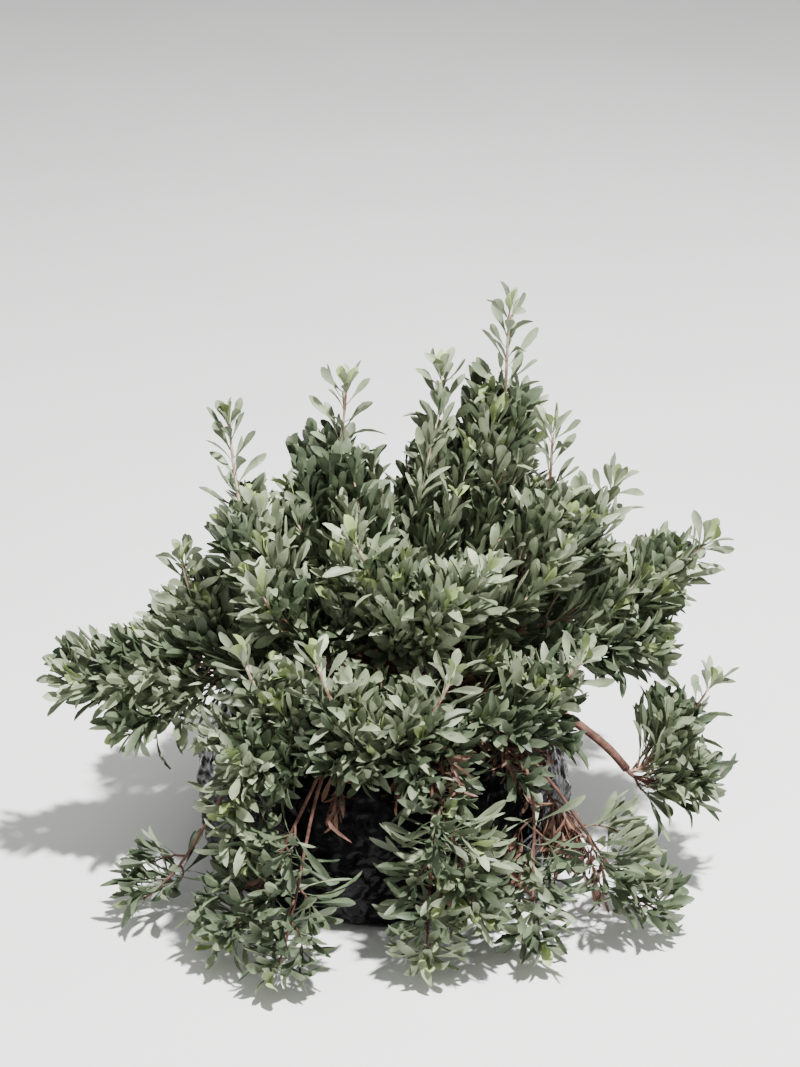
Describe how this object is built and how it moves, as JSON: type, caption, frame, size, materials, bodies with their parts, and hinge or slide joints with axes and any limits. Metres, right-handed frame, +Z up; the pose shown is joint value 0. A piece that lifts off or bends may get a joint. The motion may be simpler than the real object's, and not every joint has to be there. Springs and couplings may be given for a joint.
{
  "type": "potted shrub",
  "caption": "Bushy grey-green shrub with upright, spreading and trailing leafy stems, growing in a soft black grow bag that stands on its flat underside.",
  "frame": {"origin": "middle of the bag's flat underside", "axes": "+Z up along the bag; -Y towards the side that the picture is taken from; +X to the right in the picture"},
  "size_m": [0.6709, 0.5967, 0.5751],
  "materials": {
    "bag": "crinkled black film with a dull shine",
    "soil": "rough, dark and matt",
    "bark": "rough, matt red-brown",
    "foliage": "satin grey-green, a little waxy",
    "dead_foliage": "dry, matt red-brown"
  },
  "bodies": {
    "root": {"grow_bag": "bag", "soil": "soil", "trunk": "bark", "bough_left_up": "bark", "bough_crown_left": "bark", "bough_crown_mid": "bark", "bough_right_up": "bark", "bough_right_out": "bark", "bough_front_up": "bark", "bough_left_out": "bark", "bough_front_left": "bark", "bough_front_mid": "bark", "bough_right_front": "bark", "bough_right_bare": "bark", "bough_right_low": "bark", "bough_front_low": "bark", "bough_front_left_low": "bark", "bough_left_low": "bark", "bough_back_left": "bark", "bough_back_mid": "bark", "bough_back_right": "bark", "foliage_left_tall": "foliage", "foliage_left_front": "foliage", "foliage_left_tuft": "foliage", "foliage_centre_left": "foliage", "foliage_centre": "foliage", "foliage_leader": "foliage", "foliage_right_tall": "foliage", "foliage_right_high": "foliage", "foliage_right_far": "foliage", "foliage_right_side": "foliage", "foliage_front_crown": "foliage", "foliage_front_crown_right": "foliage", "foliage_left_upper": "foliage", "foliage_left_far": "foliage", "foliage_left_under": "foliage", "foliage_front_left_high": "foliage", "foliage_front_left_side": "foliage", "foliage_front_mid_left": "foliage", "foliage_front_mid_right": "foliage", "foliage_right_face": "foliage", "foliage_dead_skirt": "dead_foliage", "foliage_right_clump": "foliage", "foliage_right_under": "foliage", "foliage_right_ground": "foliage", "foliage_front_right_ground": "foliage", "foliage_front_ground": "foliage", "foliage_front_wall": "foliage", "foliage_front_left_ground": "foliage", "foliage_left_corner_ground": "foliage", "foliage_left_wall": "foliage", "foliage_left_ground": "foliage", "foliage_back_left_high": "foliage", "foliage_back_left_far": "foliage", "foliage_back_centre": "foliage", "foliage_back_right_high": "foliage", "foliage_back_right_far": "foliage", "foliage_back_right_low": "foliage", "foliage_back_ground_left": "foliage", "foliage_back_ground_mid": "foliage"}
  },
  "joints": []
}
